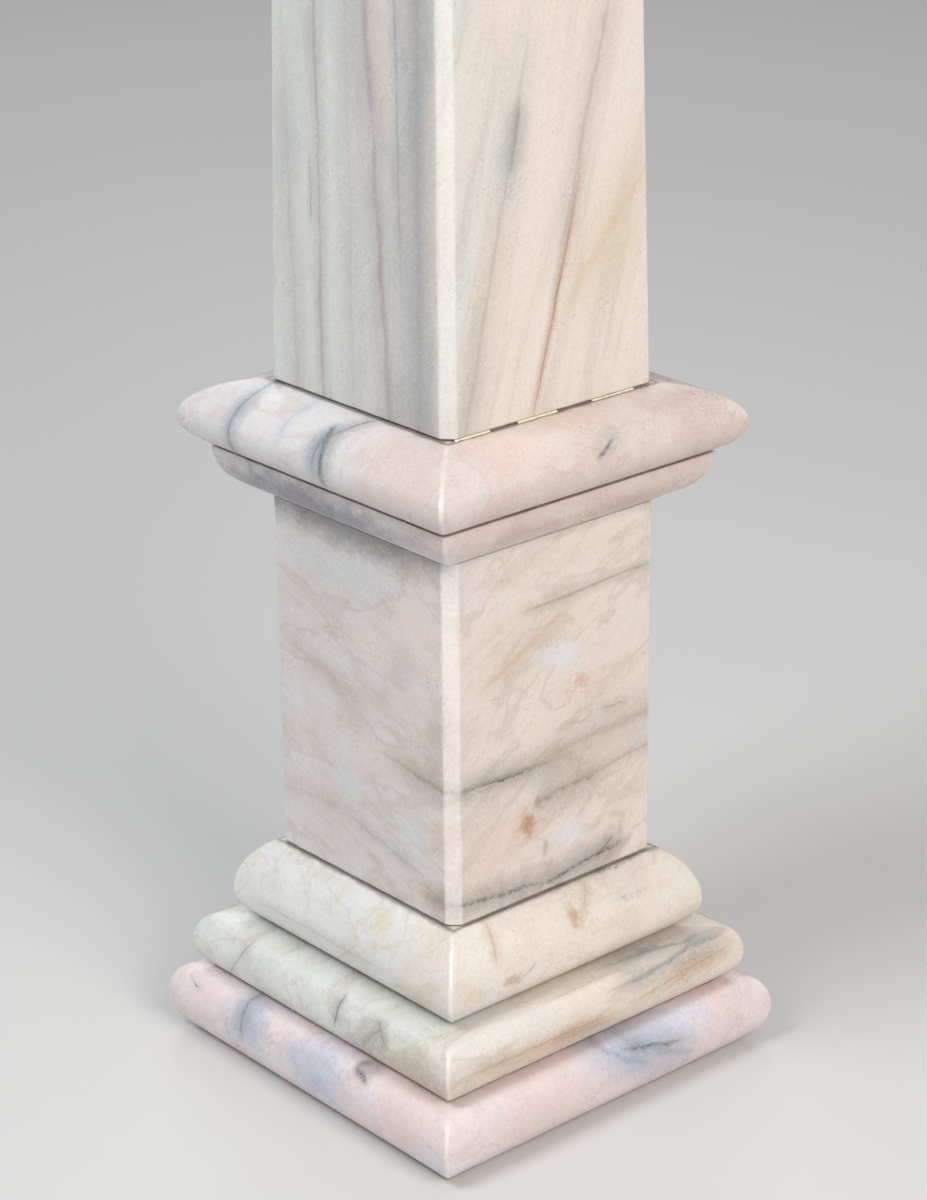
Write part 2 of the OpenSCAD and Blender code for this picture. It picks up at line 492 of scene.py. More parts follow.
def start_marble(name, foot, tones, tilt, stretch, size, zoned=0.0, smoke=0.35, lines=0.9):
    """Marble whose first two tones drift into each other, with a pale and a smoky one over
    them, and smoky lines. Zoned brings the second tone to the +X and +Y sides. Positions are
    taken from the stone's foot, in metres, and size is about a cloud's width."""
    material = bpy.data.materials.new(name)
    material.use_nodes = True
    tree = material.node_tree
    where = tree.nodes.new("ShaderNodeTexCoord").outputs["Object"]
    paint = {"material": material, "tree": tree,
             "position": vector_maths(tree, "SUBTRACT", where, (0, 0, foot)),
             "colour": tones[0]}
    flow = placed(paint, "currents")
    paint["currents"] = {current: flow[current]
                         for current in ("Broad", "Fine", "Swell", "Specks", "Mottle")}
    drawn = lean(paint, tilt, stretch)
    drift = cloud(tree, drawn, 1 / size, 3.0, 0.55, 0.6)
    split = tree.nodes.new("ShaderNodeSeparateXYZ")
    tree.links.new(paint["position"], split.inputs[0])
    across = maths(tree, "ADD", split.outputs["X"], split.outputs["Y"])
    side = maths(tree, "MULTIPLY", across, zoned)
    mixed = fade(tree, maths(tree, "ADD", drift, side), 0.34, 0.66)
    blend_colour(paint, tones[1], mixed)
    ripple = cloud(tree, drawn, 2.6 / size, 3.0, 0.62)
    blend_colour(paint, tones[2], fade(tree, ripple, 0.48, 0.72), 0.55)
    blend_colour(paint, tones[3], fade(tree, ripple, 0.50, 0.30), smoke)
    shore = maths(tree, "MULTIPLY_ADD", ripple, 0.25, 0.36)
    offshore = maths(tree, "ABSOLUTE", maths(tree, "SUBTRACT", drift, shore))
    blend_colour(paint, tones[3], fade(tree, offshore, 0.0, 0.035, 1.0, 0.0), smoke * lines)
    return paint


def vein(paint, colour, middle, facing, reach, width, wander, ripple, broken, strength, halo):
    """A vein through the stone. Its middle is in millimetres from the stone's foot, and facing
    is square to its sheet. It reaches that far, swings by wander and shivers by ripple, all in
    millimetres. Broken, strength and halo run from 0 to 1."""
    layer = placed(paint, "vein", Middle=[c * MM for c in middle], Facing=facing,
                   Reach=reach * MM, Width=width * MM, Wander=wander * MM,
                   Ripple=ripple * MM, Broken=broken)
    if halo:
        blend_colour(paint, colour, layer["Halo"], halo)
    blend_colour(paint, colour, layer["Core"], strength)


def patch(paint, colour, middle, size, ragged, strength):
    """A cloud of colour: its middle and its size each way, in millimetres from the foot."""
    layer = placed(paint, "patch", Middle=[c * MM for c in middle],
                   Size=[c * MM for c in size], Ragged=ragged)
    blend_colour(paint, colour, layer["Mask"], strength)


GRAIN_DARK = linear(140, 124, 118)
GRAIN_PALE = linear(255, 250, 246)
GRAIN_GLINT = linear(255, 253, 250)
# Dark brown for the grime at the joints and for the painted shade in the cornice's quirk.
GRIME_AND_SHADE = linear(96, 84, 74)
POLISH = 0.34
CRYSTAL_RELIEF, CRYSTAL_BUMP = 0.08 * MM, 0.35
COAT, COAT_ROUGHNESS = 0.12, 0.18


def finish_marble(paint, band_width, highlight_colour, dark_lines, highlight_strength=0.35):
    """Adds the grain, a painted highlight along the corners (its width in millimetres) and a
    dark line at each listed level (level, half width and reach in metres, and strength), which
    is grime at a joint and painted shade in a recess, and connects the shader."""
    tree = paint["tree"]
    # Painted highlight along the stone's corners.
    band = placed(paint, "corner_highlight", Width=band_width * MM, Soft=1.3 * MM)["Mask"]
    blend_colour(paint, highlight_colour, band, highlight_strength)
    grain = placed(paint, "grain")
    blend_colour(paint, GRAIN_DARK, fade(tree, grain["Tone"], 0.50, 0.30), 0.16)
    blend_colour(paint, GRAIN_PALE, fade(tree, grain["Tone"], 0.50, 0.72), 0.22)
    blend_colour(paint, GRAIN_GLINT, grain["Sparkle"], 0.13)
    for level, half, width, strength in dark_lines:
        grime_and_shade = placed(paint, "grime_and_recess_shade", Level=level, Half=half, Width=width)["Mask"]
        blend_colour(paint, GRIME_AND_SHADE, grime_and_shade, strength)
    shader = tree.nodes["Principled BSDF"]
    tree.links.new(paint["colour"], shader.inputs["Base Color"])
    smears = fade(tree, paint["currents"]["Broad"], -0.4, 0.4, POLISH - 0.07, POLISH + 0.09)
    rough = maths(tree, "MULTIPLY_ADD", grain["Tone"], 0.16, smears)
    tree.links.new(maths(tree, "SUBTRACT", rough, 0.08), shader.inputs["Roughness"])
    bump = tree.nodes.new("ShaderNodeBump")
    bump.inputs["Strength"].default_value = CRYSTAL_BUMP
    bump.inputs["Distance"].default_value = CRYSTAL_RELIEF
    tree.links.new(grain["Height"], bump.inputs["Height"])
    tree.links.new(bump.outputs[0], shader.inputs["Normal"])
    shader.inputs["Coat Weight"].default_value = COAT
    shader.inputs["Coat Roughness"].default_value = COAT_ROUGHNESS
    return paint["material"]


def set_stone(stone, node, material):
    """The stone wears its marble and stands for its plain solid."""
    stone.data.materials.append(material)
    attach(stone, "root")
    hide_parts(node)


BLUE_GREY = linear(112, 122, 128)
SLATE = linear(86, 98, 102)
LAVENDER = linear(178, 184, 202)
PINK = linear(224, 199, 196)
OCHRE = linear(182, 138, 98)
PALE_BLUE = linear(200, 208, 224)
SOFT_SLATE = linear(132, 144, 160)
# Pale colour of the painted highlight along the mitres and corners.
EDGE_HIGHLIGHT_PALE = linear(238, 233, 229)
BASE_TONES = (linear(230, 222, 223), linear(231, 213, 210), linear(214, 215, 226),
              linear(206, 184, 182))
MITRE_CUTS = [(1.0 * MM, 4)]
# Width in millimetres of the painted highlight along the mitres.
MITRE_HIGHLIGHT_WIDTH = 0.6

base_low, base_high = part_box("base_slab")
base_half = base_high.x
middle_low, middle_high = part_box("middle_slab")
MIDDLE_UNDER = 8 * MM
middle_foot = middle_high.x - MIDDLE_UNDER
BASE_WIDEST, BASE_UNDER, BASE_OVER = 17 * MM, 14 * MM, 8 * MM
base_room = base_half - middle_foot - SEAT_LIP
base_outline = rounded(base_half, base_low.z, base_high.z - base_low.z, BASE_WIDEST, BASE_UNDER,
                       BASE_OVER, math.radians(90), turn(BASE_OVER, base_room))
base_stone = cut_blank("base_slab_marble", base_outline[0][0], base_low.z, cells=48,
                       corner_cuts=MITRE_CUTS)
raise_stone(base_outline)
dress(base_stone)

base_paint = start_marble("base_marble", base_low.z, BASE_TONES,
                          tilt=(0, 0, 20), stretch=(1, 1, 1), size=0.055)
patch(base_paint, LAVENDER, (-36, -85, 22), (17, 18, 18), 1.4, 0.85)
patch(base_paint, LAVENDER, (10, -85, 20), (30, 18, 18), 1.5, 0.75)
patch(base_paint, LAVENDER, (86, 20, 20), (18, 32, 18), 1.4, 0.7)
patch(base_paint, PALE_BLUE, (86, 22, 25), (18, 54, 11), 1.3, 0.7)
patch(base_paint, PINK, (62, -84, 20), (24, 20, 20), 1.0, 0.6)
patch(base_paint, PINK, (85, -40, 16), (20, 42, 20), 1.0, 0.6)
patch(base_paint, PINK, (80, 66, 24), (24, 22, 14), 1.0, 0.6)
vein(base_paint, SLATE, (-72, -84, 26), (0.3, 0, 1), 9, 1.0, 0.9, 1.6, 0.6, 0.8, 0.1)
vein(base_paint, BLUE_GREY, (-40, -84, 24), (1, 0.1, 0.1), 14, 2.2, 1.9, 1.3, 0.5, 0.7, 0.3)
vein(base_paint, SLATE, (35, -82, 28), (0.3, 0, 1), 9, 1.9, 1.0, 2.0, 0.5, 0.9, 0.35)
vein(base_paint, SOFT_SLATE, (84, 2, 27), (0.2, 0.55, 1), 26, 2.4, 1.6, 1.6, 0.6, 0.6, 0.3)
vein(base_paint, SOFT_SLATE, (87, 26, 21), (0, 0.5, 1), 28, 3.4, 2.2, 2.4, 0.6, 0.5, 0.3)
vein(base_paint, SLATE, (86, 22, 24), (0, 0.2, 1), 20, 1.3, 1.2, 1.6, 0.5, 0.75, 0.2)
vein(base_paint, BLUE_GREY, (-80, 30, 20), (0.1, 1, 0.5), 40, 2.4, 4.9, 1.7, 0.5, 0.6, 0.3)
vein(base_paint, BLUE_GREY, (-20, 86, 20), (1, 0.1, 0.4), 40, 2.4, 4.9, 1.7, 0.5, 0.6, 0.3)
base_marble = finish_marble(base_paint, MITRE_HIGHLIGHT_WIDTH, EDGE_HIGHLIGHT_PALE,
                            [(base_high.z - base_low.z, middle_foot, 2.2 * MM, 0.7)])
set_stone(base_stone, "base_slab", base_marble)

# ---------------------------------------------------------------------------
# Middle slab: marble, greenish white on the left and tan streaked on the right,
# with fine grey cracks. Its edge is rounded above and below, like the base's, and
# it lies on the base in mastic.
# ---------------------------------------------------------------------------
TAN = linear(206, 180, 154)
RUST = linear(168, 122, 92)
GREY_BROWN = linear(150, 140, 130)
DUN = linear(186, 172, 154)
BARK = linear(194, 170, 148)
SALMON = linear(228, 196, 182)
MIDDLE_TONES = (linear(216, 219, 214), linear(226, 213, 200), linear(234, 230, 222),
                linear(190, 174, 156))

upper_low, upper_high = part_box("upper_slab")
UPPER_UNDER = 11 * MM
upper_foot = upper_high.x - UPPER_UNDER
MIDDLE_WIDEST, MIDDLE_OVER = 11 * MM, 7 * MM
middle_room = middle_high.x - upper_foot - SEAT_LIP
middle_t = middle_high.z - middle_low.z
middle_outline = rounded(middle_high.x, middle_low.z, middle_t, MIDDLE_WIDEST, MIDDLE_UNDER,
                         MIDDLE_OVER, math.radians(90), turn(MIDDLE_OVER, middle_room))
middle_stone = cut_blank("middle_slab_marble", middle_outline[0][0], middle_low.z, cells=46,
                         corner_cuts=MITRE_CUTS)
raise_stone(middle_outline)
dress(middle_stone)

middle_paint = start_marble("middle_marble", middle_low.z, MIDDLE_TONES,
                            tilt=(0, 8, 0), stretch=(0.8, 3.2, 0.55), size=0.045, zoned=3.2)
patch(middle_paint, DUN, (62, -80, 8), (28, 16, 14), 1.3, 0.75)
patch(middle_paint, TAN, (80, -20, 8), (12, 80, 6), 1.4, 0.5)
patch(middle_paint, BARK, (80, 56, 15), (12, 34, 7), 1.4, 0.65)
patch(middle_paint, SALMON, (81, -38, 9), (8, 9, 3.5), 1.0, 0.7)
vein(middle_paint, GREY_BROWN, (-52, -80, 12), (1, 0, -0.7), 18, 1.0, 1.3, 1.3, 0.4, 0.75, 0.2)
vein(middle_paint, SLATE, (14, -80, 16), (1, 0.1, -0.2), 9, 1.2, 1.2, 1.8, 0.4, 0.85, 0.25)
vein(middle_paint, SLATE, (41, -80, 16), (1, 0.2, 0.8), 8, 1.1, 1.0, 2.0, 0.5, 0.85, 0.2)
vein(middle_paint, GREY_BROWN, (30, -79, 8), (1, 0, -0.9), 22, 2.6, 1.6, 1.4, 0.5, 0.7, 0.45)
vein(middle_paint, RUST, (80, -34, 11), (0, 0.02, 1), 46, 1.4, 1.2, 0.9, 0.6, 0.55, 0.28)
vein(middle_paint, RUST, (80, -10, 8.5), (0, 0.06, 1), 22, 1.1, 1.2, 0.8, 0.7, 0.45, 0.25)
vein(middle_paint, RUST, (80, 44, 14), (0, -0.10, 1), 34, 1.0, 1.5, 0.5, 0.5, 0.4, 0.25)
vein(middle_paint, BLUE_GREY, (78, 42, 21), (0.3, -0.04, 1), 40, 1.2, 1.2, 0.4, 0.4, 0.65, 0.35)
vein(middle_paint, GREY_BROWN, (74, -5, 22.5), (1, 0, 0.3), 22, 0.7, 0.8, 0.5, 0.5, 0.6, 0.2)
vein(middle_paint, GREY_BROWN, (-79, 20, 11), (0, 0.1, 1), 55, 1.2, 1.9, 0.5, 0.5, 0.5, 0.3)
vein(middle_paint, GREY_BROWN, (-10, 79, 11), (1, 0, -0.8), 30, 1.2, 1.8, 1.0, 0.5, 0.6, 0.3)
middle_marble = finish_marble(middle_paint, MITRE_HIGHLIGHT_WIDTH, EDGE_HIGHLIGHT_PALE,
                              [(middle_t, upper_foot, 2.4 * MM, 0.75)])
set_stone(middle_stone, "middle_slab", middle_marble)

# ---------------------------------------------------------------------------
# Upper slab: ivory marble with a few ochre stains. Its top falls away from the
# die in one long curve, its edge turns in quickly underneath, and it lies on the
# middle slab in mastic.
# ---------------------------------------------------------------------------
STRAW = linear(222, 202, 160)
KHAKI = linear(196, 182, 160)
HONEY = linear(214, 188, 150)
UPPER_TONES = (linear(222, 222, 219), linear(229, 218, 206), linear(233, 227, 219),
               linear(204, 190, 172))

die_low, die_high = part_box("die")
die_half = die_high.x
UPPER_WIDEST, UPPER_OVER = 11 * MM, 26 * MM
upper_room = upper_high.x - die_half - SEAT_LIP
upper_t = upper_high.z - upper_low.z
upper_outline = rounded(upper_high.x, upper_low.z, upper_t, UPPER_WIDEST, UPPER_UNDER,
                        UPPER_OVER, math.radians(90), turn(UPPER_OVER, upper_room))
upper_stone = cut_blank("upper_slab_marble", upper_outline[0][0], upper_low.z, cells=44,
                        corner_cuts=MITRE_CUTS)
raise_stone(upper_outline)
dress(upper_stone)

upper_paint = start_marble("upper_marble", upper_low.z, UPPER_TONES,
                           tilt=(0, 0, 30), stretch=(1, 1, 0.7), size=0.05, zoned=3.0)
patch(upper_paint, STRAW, (22, -62, 27), (7, 12, 9), 1.0, 0.6)
patch(upper_paint, KHAKI, (50, -66, 8), (18, 12, 9), 1.3, 0.6)
patch(upper_paint, OCHRE, (62, 0, 25), (9, 3.6, 5.5), 2.0, 0.6)
patch(upper_paint, RUST, (67, -38, 12), (6, 5.5, 3.0), 2.2, 0.5)
patch(upper_paint, HONEY, (66, -58, 13), (10, 9, 6), 1.3, 0.55)
vein(upper_paint, GREY_BROWN, (-10, -67, 12), (0, 0.1, 1), 55, 1.0, 1.3, 0.4, 0.6, 0.35, 0.2)
vein(upper_paint, OCHRE, (60, -42, 26), (0, 1, -0.3), 12, 1.0, 1.3, 0.8, 0.4, 0.45, 0.3)
vein(upper_paint, OCHRE, (60, 8, 29), (0, 1, -1), 12, 0.8, 1.0, 0.6, 0.5, 0.45, 0.3)
vein(upper_paint, SLATE, (57, 32, 33.5), (1, 0, 1), 18, 0.9, 0.6, 1.0, 0.9, 0.6, 0.1)
vein(upper_paint, SLATE, (68, -30, 12), (0.1, -0.6, 1), 9, 0.8, 0.5, 0.9, 0.6, 0.55, 0.1)
vein(upper_paint, GREY_BROWN, (-66, 10, 18), (0, 1, -0.5), 30, 1.0, 2.1, 0.7, 0.5, 0.5, 0.3)
patch(upper_paint, STRAW, (-12, 63, 26), (9, 12, 8), 1.1, 0.5)
upper_marble = finish_marble(upper_paint, MITRE_HIGHLIGHT_WIDTH, EDGE_HIGHLIGHT_PALE,
                             [(upper_t, die_half, 2.4 * MM, 0.7)])
set_stone(upper_stone, "upper_slab", upper_marble)

# ---------------------------------------------------------------------------
# Die: the pedestal's plain marble block, rose grey on the left and cream pink on
# the right, its four upright arrises taken off flat and given a painted highlight,
# almost white. It stands on the upper slab in mastic.
# ---------------------------------------------------------------------------
ARRIS = 4.4 * MM
BLOCK_CUTS = [(ARRIS, 1), (0.7 * MM, 3)]
BLOCK_CHIP = 0.3 * MM
# Width in millimetres of the painted highlight along the flat arrises.
ARRIS_HIGHLIGHT_WIDTH = 4.2
OLIVE = linear(138, 130, 110)
DARK_OLIVE = linear(86, 84, 74)
ROSE = linear(227, 201, 189)
CREAM_ROSE = linear(226, 206, 192)
MILK = linear(226, 224, 228)
LILAC_MILK = linear(222, 218, 226)
BLUE_MILK = linear(212, 218, 219)
ROSE_BROWN = linear(198, 180, 170)
DRAB = linear(190, 172, 156)
SMOKE = linear(190, 184, 180)
WARM_SMOKE = linear(194, 182, 170)
SEA_GREY = linear(206, 216, 218)
PAINTED_SHADOW_GREY = linear(128, 132, 136)
APRICOT = linear(220, 188, 170)
CORAL = linear(214, 168, 156)
DUSK = linear(160, 148, 146)
TAUPE = linear(170, 157, 147)
# Near white of the painted highlight along the die's flat arrises.
ARRIS_HIGHLIGHT_WHITE = linear(242, 240, 238)
DIE_TONES = (linear(214, 206, 203), linear(229, 215, 204), linear(222, 221, 222),
             linear(184, 168, 152))

die_h = die_high.z - die_low.z
DIE_LEVELS = 26
EASED = 0.3 * MM
die_outline = [(die_half - EASED, die_low.z), (die_half, die_low.z + EASED)]
for level in range(1, DIE_LEVELS):
    die_outline.append((die_half, die_low.z + EASED + (die_h - 2 * EASED) * level / DIE_LEVELS))
die_outline += [(die_half, die_high.z - EASED), (die_half - EASED, die_high.z)]
die_stone = cut_blank("die_marble_block", die_half - EASED, die_low.z, cells=17,
                      corner_cuts=BLOCK_CUTS)
raise_stone(die_outline)
dress(die_stone, ARRIS, (die_low.z, die_low.z + EASED, die_high.z), refine=2, chip=BLOCK_CHIP)

die_paint = start_marble("die_marble", die_low.z, DIE_TONES,
                         tilt=(24, 12, 0), stretch=(1.6, 1.6, 0.7), size=0.05, zoned=2.6)
patch(die_paint, ROSE, (50, -30, 30), (20, 34, 24), 1.2, 0.6)
patch(die_paint, ROSE, (54, 18, 84), (10, 26, 9), 1.2, 0.6)
patch(die_paint, CREAM_ROSE, (54, 0, 140), (10, 54, 12), 1.0, 0.5)
patch(die_paint, MILK, (55, 0, 101), (9, 19, 7), 1.3, 0.75)
patch(die_paint, LILAC_MILK, (55, 9, 21), (9, 12, 9), 1.2, 0.75)
patch(die_paint, BLUE_MILK, (-9, -55, 40), (15, 10, 12), 1.2, 0.65)
patch(die_paint, BLUE_MILK, (29, -55, 33), (13, 10, 10), 1.2, 0.6)
patch(die_paint, ROSE_BROWN, (46, -54, 76), (9, 8, 26), 1.4, 0.65)
patch(die_paint, DRAB, (44, -54, 8), (15, 8, 10), 1.3, 0.6)
patch(die_paint, SMOKE, (28, -55, 104), (16, 10, 15), 1.6, 0.4)
patch(die_paint, WARM_SMOKE, (-4, -55, 74), (14, 8, 13), 1.6, 0.45)
patch(die_paint, SEA_GREY, (-15, -55, 132), (42, 8, 12), 1.0, 0.5)
# Painted shadow of the cornice: grey, darkest at the top of the die's -Y face and fading out
# within about 15 mm.
patch(die_paint, PAINTED_SHADOW_GREY, (-6, -55, die_h / MM), (74, 8, 15), 0.9, 0.62)
patch(die_paint, APRICOT, (55, -16, 31), (9, 11, 12), 1.5, 0.6)
patch(die_paint, OCHRE, (55, -15, 32), (6, 5.2, 9), 2.4, 0.85)
patch(die_paint, OCHRE, (55, -10, 41), (5, 3.4, 5), 2.4, 0.6)
patch(die_paint, RUST, (55, -6, 19), (5, 2.4, 6), 2.2, 0.4)
patch(die_paint, CORAL, (55, 14, 86), (4, 4.5, 2.8), 1.2, 0.6)
vein(die_paint, TAN, (55, -16, 108), (0, -0.5, 1), 34, 3.5, 2.6, 0.7, 0.3, 0.7, 0.35)
vein(die_paint, OLIVE, (55, 18, 125), (0, -0.04, 1), 46, 1.2, 1.3, 0.3, 0.4, 0.55, 0.3)
vein(die_paint, OLIVE, (55, -38, 57), (0.1, 0.02, 1), 54, 2.4, 1.6, 1.0, 0.5, 0.75, 0.45)
vein(die_paint, DARK_OLIVE, (55, -28, 56), (0, 0.04, 1), 18, 1.2, 0.8, 1.0, 0.8, 0.9, 0.2)
vein(die_paint, OLIVE, (55, 28, 61), (0, -0.06, 1), 46, 4.2, 2.0, 1.4, 0.4, 0.42, 0.3)
vein(die_paint, OLIVE, (55, 5, 42), (0, -0.1, 1), 22, 3.4, 1.6, 2.6, 0.8, 0.75, 0.4)
vein(die_paint, OLIVE, (55, 38, 46), (0, -0.15, 1), 26, 1.6, 2.1, 0.7, 0.5, 0.4, 0.25)
vein(die_paint, OLIVE, (55, 31, 70), (0, 0.05, 1), 9, 1.0, 0.8, 0.8, 0.5, 0.6, 0.2)
vein(die_paint, DARK_OLIVE, (55, -34, 7), (0, 0.1, 1), 34, 2.2, 1.4, 1.6, 0.75, 0.75, 0.42)
vein(die_paint, DARK_OLIVE, (55, 14, 5.5), (0, -0.12, 1), 30, 2.6, 1.2, 1.6, 0.65, 0.9, 0.45)
vein(die_paint, DARK_OLIVE, (55, 26, 8.5), (0, -0.7, 1), 8, 1.0, 0.4, 0.6, 0.3, 0.85, 0.2)
vein(die_paint, DUSK, (14, -55, 22), (0.2, 0, 1), 30, 1.5, 2.4, 1.2, 0.4, 0.4, 0.3)
vein(die_paint, TAUPE, (-24, -55, 86), (0.3, 0, 1), 30, 2.2, 3.0, 1.6, 0.4, 0.3, 0.25)
vein(die_paint, TAUPE, (-26, -55, 28), (-0.1, 0, 1), 34, 2.0, 3.0, 1.6, 0.4, 0.25, 0.2)
vein(die_paint, OLIVE, (-55, 5, 96), (0, 0.2, 1), 60, 1.6, 2.7, 0.7, 0.4, 0.6, 0.35)
vein(die_paint, OLIVE, (0, 55, 48), (0.25, 0, 1), 60, 1.6, 2.7, 0.7, 0.4, 0.6, 0.35)
vein(die_paint, DARK_OLIVE, (-55, -20, 26), (0, -0.3, 1), 34, 1.2, 1.9, 1.3, 0.6, 0.7, 0.3)
patch(die_paint, MILK, (-54, 20, 60), (9, 22, 12), 1.3, 0.6)
patch(die_paint, ROSE, (10, 54, 104), (26, 9, 14), 1.2, 0.6)
die_marble = finish_marble(die_paint, ARRIS_HIGHLIGHT_WIDTH, ARRIS_HIGHLIGHT_WHITE,
                           [(0, die_half, 1.2 * MM, 0.5)], highlight_strength=0.46)
set_stone(die_stone, "die", die_marble)

# ---------------------------------------------------------------------------
# Cornice: one dusty pink marble with blue-grey veins, bedded on the die. A thin
# fillet and an ovolo carry the wide rounded nose, with a quirk cut in between them.
# ---------------------------------------------------------------------------
FILLET_H, FILLET_OUT = 2 * MM, 1 * MM
OVOLO_H, OVOLO_OUT, QUIRK = 17 * MM, 15.5 * MM, 4 * MM
NOSE_WIDEST, NOSE_UNDER, NOSE_OVER = 12.5 * MM, 19 * MM, 30 * MM
BUFF_PINK = linear(218, 196, 182)
SHELL_PINK = linear(230, 200, 192)
ASH_PINK = linear(216, 197, 188)
MAUVE_AND_SHADE = linear(122, 119, 132)
ROSE_TAN = linear(190, 160, 150)
PALE_GREY = linear(186, 180, 178)
CORNICE_TONES = (linear(216, 214, 214), linear(213, 194, 186), linear(222, 212, 208),
                 linear(198, 172, 164))

cornice_low, cornice_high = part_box("cornice")
shaft_low, shaft_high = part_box("shaft")
shaft_half = shaft_high.x
nose_half = cornice_high.x
nose_z = cornice_low.z + FILLET_H + OVOLO_H
nose_t = cornice_high.z - nose_z
ovolo_half = die_half + OVOLO_OUT
fillet_half = die_half + FILLET_OUT
cornice_outline = [(fillet_half, cornice_low.z)]
for step in range(CURVE_STEPS + 1):
    swing = math.pi / 2 * step / CURVE_STEPS
    cornice_outline.append((fillet_half + (ovolo_half - fillet_half) * math.sin(swing),
                            cornice_low.z + FILLET_H + OVOLO_H * (1 - math.cos(swing))))
cornice_outline += rounded(nose_half, nose_z, nose_t, NOSE_WIDEST, NOSE_UNDER, NOSE_OVER,
                           turn(NOSE_UNDER, nose_half - ovolo_half + QUIRK),
                           turn(NOSE_OVER, nose_half - shaft_half - SEAT_LIP))
cornice_stone = cut_blank("cornice_marble_block", fillet_half, cornice_low.z, cells=42,
                          corner_cuts=MITRE_CUTS)
raise_stone(cornice_outline)
dress(cornice_stone)

nose_top = (nose_z - cornice_low.z + nose_t) / MM
cornice_paint = start_marble("cornice_marble", cornice_low.z, CORNICE_TONES,
                             tilt=(0, 0, 15), stretch=(1, 1, 0.8), size=0.05, zoned=3.0)
patch(cornice_paint, BUFF_PINK, (58, -10, nose_top - 1), (14, 46, 5), 1.3, 0.6)
patch(cornice_paint, SHELL_PINK, (66, -34, nose_top - 5), (22, 26, 9), 1.1, 0.5)
patch(cornice_paint, ASH_PINK, (56, -72, nose_top - 10), (42, 26, 20), 1.0, 0.7)
patch(cornice_paint, LAVENDER, (-46, -72, nose_top - 8), (9, 22, 12), 1.3, 0.5)
patch(cornice_paint, LAVENDER, (4, -72, nose_top - 10), (11, 22, 12), 1.4, 0.55)
# Broad dark mauve along the ovolo's -Y side: partly the marble's own mauve, partly painted shade
# on that side of the ovolo.
patch(cornice_paint, MAUVE_AND_SHADE, (-10, -68, 9), (86, 14, 13), 1.0, 0.85)
patch(cornice_paint, ROSE_TAN, (68, -32, 8), (10, 24, 8), 1.4, 0.5)
patch(cornice_paint, ROSE_TAN, (68, 22, 8), (10, 22, 8), 1.4, 0.5)
vein(cornice_paint, BLUE_GREY, (-46, -68, nose_top - 9), (1, 0.05, 0.05),
     30, 1.8, 2.1, 0.7, 0.4, 0.65, 0.35)
vein(cornice_paint, LAVENDER, (-18, -66, nose_top - 6), (1, 0.05, 0),
     20, 1.0, 1.5, 0.5, 0.4, 0.4, 0.3)
vein(cornice_paint, SLATE, (13, -58, nose_top - 2), (1, -0.42, 0),
     17, 1.7, 1.4, 0.8, 0.35, 0.8, 0.3)
vein(cornice_paint, SLATE, (8, -74, nose_top - 11), (1, 0.45, 0.1),
     16, 2.3, 1.3, 1.2, 0.45, 0.85, 0.4)
vein(cornice_paint, BLUE_GREY, (5, -72, nose_top - 10), (1, 0.1, 0),
     13, 1.4, 1.1, 1.3, 0.5, 0.7, 0.25)
vein(cornice_paint, SLATE, (75, 4, nose_top - 9), (0.2, -0.3, 1),
     9, 1.1, 0.7, 0.7, 0.4, 0.9, 0.2)
patch(cornice_paint, PALE_GREY, (72, 12, nose_top - 7), (7, 6, 5), 1.2, 0.55)
vein(cornice_paint, BLUE_GREY, (-70, 24, nose_top - 10), (0.1, 1, 0.2),
     40, 2.0, 2.9, 1.0, 0.4, 0.7, 0.35)
vein(cornice_paint, BLUE_GREY, (20, 70, nose_top - 10), (1, 0.2, 0.1),
     40, 2.0, 2.9, 1.0, 0.4, 0.6, 0.35)
# The first dark line is grime at the shaft's foot; the second, 3.4 mm wide, is painted shade in
# the quirk under the nose.
cornice_marble = finish_marble(cornice_paint, MITRE_HIGHLIGHT_WIDTH, EDGE_HIGHLIGHT_PALE,
                               [(nose_top * MM, shaft_half, 2.0 * MM, 0.65),
                                (nose_z - cornice_low.z, ovolo_half - QUIRK, 3.4 * MM, 0.85)])
set_stone(cornice_stone, "cornice", cornice_marble)

# ---------------------------------------------------------------------------
# Shaft: one long tapering marble, streaked from end to end, cream pink on the
# right and grey-green on the left. It stands on the cornice in mastic and ends in
# a four-sided point.
# ---------------------------------------------------------------------------
SHAFT_TOP_HALF = 30 * MM
TIP_HALF = 1.5 * MM
POINT_H = 85 * MM
SHAFT_LEVELS = 46
POINT_LEVELS = 7
ICE_BLUE = linear(198, 211, 218)
SAND = linear(224, 210, 182)
ASH = linear(148, 148, 150)
MAUVE_ASH = linear(168, 154, 156)
ROSE_ASH = linear(178, 158, 150)
DARK_ASH = linear(140, 142, 144)
FAWN = linear(184, 174, 164)
PALE_FAWN = linear(188, 180, 176)
BRICK = linear(186, 140, 126)
UMBER = linear(164, 150, 144)
OXBLOOD = linear(120, 72, 58)
LICHEN = linear(176, 170, 154)
TAWNY = linear(214, 190, 160)
SHAFT_TONES = (linear(213, 216, 212), linear(233, 220, 209), linear(231, 229, 224),
               linear(186, 178, 168))
STEEP, STEEPER = (0, 0.963, -0.272), (0, 0.97, -0.24)

